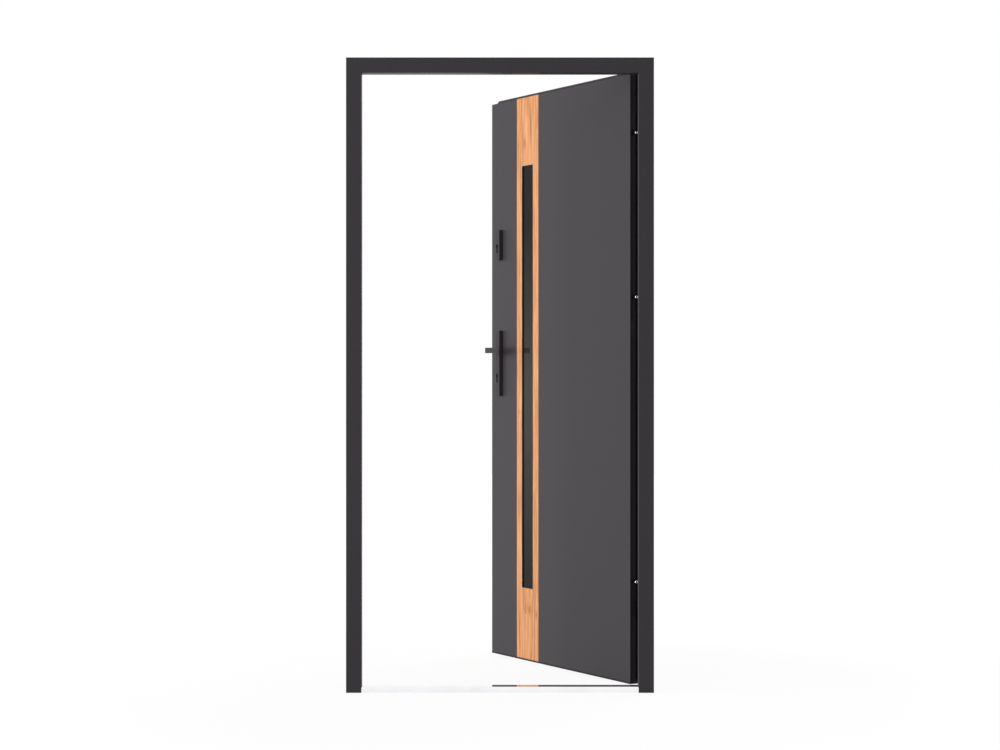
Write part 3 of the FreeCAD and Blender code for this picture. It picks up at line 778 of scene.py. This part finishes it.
SCREW_SECTION = (
    (0.00, 0.15, 0),
    (0.42, 0.15, 1),
    (0.42, 0.94, 1),
    (0.4704, 1.00, 0.6),
    (0.62, 0.97, 0),
    (0.80, 0.80, 0),
    (0.93, 0.50, 0),
    (1.00, 0.15, 0),
    (1.00, -0.20, 0),
    (0.00, -0.20, 0),
)
WING_PLATE = 42 * MM
WING_THICKNESS = 3 * MM
WING_STEP = 0.34
WING_SCREW = (5.5 * MM, 1.8 * MM)

# Screws near both ends of plates: their name, body, plates with the screws' distance from the ends,
# the way that they face, the head's radius and height, and their finish
PLATE_SCREWS = (
    (
        "faceplate_screws", "leaf",
        (("main_lock_faceplate", 8 * MM), ("upper_lock_faceplate", 8 * MM)),
        (-1, 0, 0), (3.6 * MM, 0.7 * MM), "bright_steel",
    ),
    (
        "strike_screws", "frame",
        (("main_strike_plate", 10 * MM), ("upper_strike_plate", 10 * MM)),
        (1, 0, 0), (3.8 * MM, 0.7 * MM), "bright_steel",
    ),
    (
        "indoor_plate_screws", "leaf",
        (("inner_long_plate", 12 * MM), ("inner_escutcheon", 10 * MM)),
        (0, 1, 0), (4.0 * MM, 0.9 * MM), "cylinder_black",
    ),
)


def screws(name, body, size, places, along, slot):
    """Button screws with heads of a radius and height, at places given with the leaf shut."""
    screw = turned(np.array(SCREW_SECTION) * (*size, 1), sides=36)
    piece(name, body, several(screw, places, along), slot)


def hinge_screws():
    """Three screws up the middle of each wing on the leaf."""
    leaf_back = shut_box("inner_skin")[1][1]
    places = []
    for hinge in ("bottom", "middle", "top"):
        low, high = shut_box("hinge_" + hinge + "_door_wing")
        x = low[0] + WING_PLATE / 2
        middle = (low[2] + high[2]) / 2
        for step in (-WING_STEP, 0, WING_STEP):
            places.append((x, leaf_back + WING_THICKNESS, middle + step * (high[2] - low[2])))
    screws("hinge_wing_screws", "leaf", WING_SCREW, places, (0, 1, 0), "bright_steel")


def plate_screws():
    """A screw on the middle line of each plate's face, a distance from each of its ends."""
    for name, body, plates, along, size, slot in PLATE_SCREWS:
        places = []
        for plate, margin in plates:
            low, high = node_box(plate) if body == "frame" else shut_box(plate)
            face = (low + high + np.array(along) * (high - low)) / 2
            places += [(face[0], face[1], low[2] + margin), (face[0], face[1], high[2] - margin)]
        screws(name, body, size, places, along, slot)


hinge_screws()
plate_screws()

# Domes of the hinge pins

DOME_RADIUS = 9.4 * MM
DOME_RISE = 1.7 * MM
DOME_SINK = 0.5 * MM
DOME_STEPS = (12, 25, 38, 52, 66, 80, 90)


def hinge_domes():
    """A low dome on each hinge pin's cap, and one under each lower knuckle.

    At an angle t from its top, a dome's section is DOME_RADIUS times sin t and DOME_RISE times cos t.
    """
    section = [(0, DOME_RISE, 0)]
    for angle in np.radians(DOME_STEPS):
        section.append((DOME_RADIUS * math.sin(angle), DOME_RISE * math.cos(angle), 0))
    section += [(DOME_RADIUS, -DOME_SINK, 0), (0, -DOME_SINK, 0)]
    dome = turned(section)
    pins = stacked_boxes("hinge_pins")
    caps = several(dome, [(hinge_x, hinge_y, high[2]) for low, high in pins], (0, 0, 1), (0, 1, 0))
    feet = several(dome, [(hinge_x, hinge_y, low[2]) for low, high in pins], (0, 0, -1), (0, 1, 0))
    piece("hinge_pin_domes", "frame", joined(caps, feet), "bright_steel")


hinge_domes()

# Levers

LEVER_THICKNESS = 10 * MM
LEVER_ROUNDING = 2 * MM
NECK = 0.475
NECK_SINK = 2 * MM
FLARE_LENGTH = 2.4 * MM
FLARE = 0.5 * MM
FLARE_STEPS = (20, 40, 60, 75)


def lever(side, outward):
    """A flat bar on a round neck that flares where it meets the bar.

    At an angle t the flare adds FLARE times 1 - cos t to the neck's radius, at FLARE_LENGTH times
    sin t along it.
    """
    low, high = shut_box(side + "_lever")
    bar_low = low.copy()
    bar_high = high.copy()
    face = high[1] if outward > 0 else low[1]
    seat = low[1] if outward > 0 else high[1]
    bar_back = face - outward * LEVER_THICKNESS
    bar_low[1] = min(face, bar_back)
    bar_high[1] = max(face, bar_back)
    length = abs(bar_back - seat)
    radius = NECK * (high[2] - low[2])
    section = [(0, 0, 0), (radius, 0, 0), (radius, length - FLARE_LENGTH, 0)]
    for angle in np.radians(FLARE_STEPS):
        flared = radius + FLARE * (1 - math.cos(angle))
        section.append((flared, length - FLARE_LENGTH + FLARE_LENGTH * math.sin(angle), 0))
    section += [(radius, length + NECK_SINK, 0), (0, length + NECK_SINK, 0)]
    place = (low[0] + (high[2] - low[2]) / 2, seat, (low[2] + high[2]) / 2)
    neck = several(turned(section, sides=64), [place], (0, outward, 0))
    bar = rounded_bar(bar_low, bar_high, LEVER_ROUNDING)
    name = side + "_bar_lever"
    piece(name, "handle", joined(bar, neck), "handle_paint", replaces=[side + "_lever"])


lever("outer", OUTDOORS)
lever("inner", INDOORS)

# Floor, surround, lamps and camera

FLOOR_HALF = 15.0
FLOOR_TONE = (0.85, 0.85, 0.85)
WHITE = (1, 1, 1)
SHADOW_SHARE = 0.14
SHADOW_FADE = (1.2, 3.2)
PAPER_WHITE = 1.06
SURROUND_LIGHT = 0.46
LAMPS_AIM = (0.0, 0.3, 1.0)
EYE = (0.0, -6.902, 1.0319)
LENS_MM = 76.09


def floor_finish():
    """White where it is seen, with a share of real shade near the object that fades with distance."""
    finish = new_finish("white_floor")
    point = finish.here()
    length = finish.node("ShaderNodeVectorMath", {"operation": "LENGTH"}, {"Vector": point})["Value"]
    fade = finish.between(length, *SHADOW_FADE, SHADOW_SHARE, 0.0)
    paper = finish.node("ShaderNodeBsdfDiffuse", {}, {"Color": FLOOR_TONE})["BSDF"]
    light = {"Color": WHITE, "Strength": PAPER_WHITE}
    white = finish.node("ShaderNodeEmission", {}, light)["Emission"]
    sockets = {"Fac": finish.seen_directly() * (1 - fade), "Shader": paper, "Shader_001": white}
    mixed = finish.node("ShaderNodeMixShader", {}, sockets)["Shader"]
    finish.node("ShaderNodeOutputMaterial", {}, {"Surface": mixed})
    return finish.owner


def floor():
    corners = FLOOR_HALF * np.array([(-1, -1, 0), (1, -1, 0), (1, 1, 0), (-1, 1, 0)], float)
    mesh = bpy.data.meshes.new("floor")
    mesh.from_pydata(corners.tolist(), [], [(0, 1, 2, 3)])
    mesh.materials.append(floor_finish())
    made = bpy.data.objects.new("floor", mesh)
    bpy.context.scene.collection.objects.link(made)


def surround():
    """A white surround that lights the object less than it shows."""
    finish = Finish(bpy.data.worlds.new("surround"))
    strength = finish.between(finish.seen_directly(), 0.0, 1.0, SURROUND_LIGHT, 1.0)
    shown = finish.node("ShaderNodeBackground", {}, {"Color": WHITE, "Strength": strength})
    finish.node("ShaderNodeOutputWorld", {}, {"Surface": shown["Background"]})
    bpy.context.scene.world = finish.owner


def lamp(name, place, size, watts):
    """A square soft lamp that faces LAMPS_AIM: it is tilted from straight down, and then turned."""
    light = bpy.data.lights.new(name, "AREA")
    light.size = size
    light.energy = watts
    made = bpy.data.objects.new(name, light)
    made.location = place
    toward = np.array(LAMPS_AIM) - np.array(place)
    turn = math.atan2(toward[1], toward[0]) - math.pi / 2
    tilt = math.atan2(math.hypot(toward[0], toward[1]), -toward[2])
    made.rotation_euler = (tilt, 0, turn)
    bpy.context.scene.collection.objects.link(made)


floor()
surround()
lamp("key", (-6.5, -1.9, 1.9), size=3.4, watts=288.0)
lamp("back_fill", (3.4, 4.2, 3.0), size=2.5, watts=90.0)

camera = bpy.data.cameras.new("camera")
camera.lens = LENS_MM
viewer = bpy.data.objects.new("camera", camera)
viewer.location = EYE
viewer.rotation_euler = (math.pi / 2, 0, 0)
bpy.context.scene.collection.objects.link(viewer)
bpy.context.scene.camera = viewer
bpy.context.scene.view_settings.view_transform = "Standard"
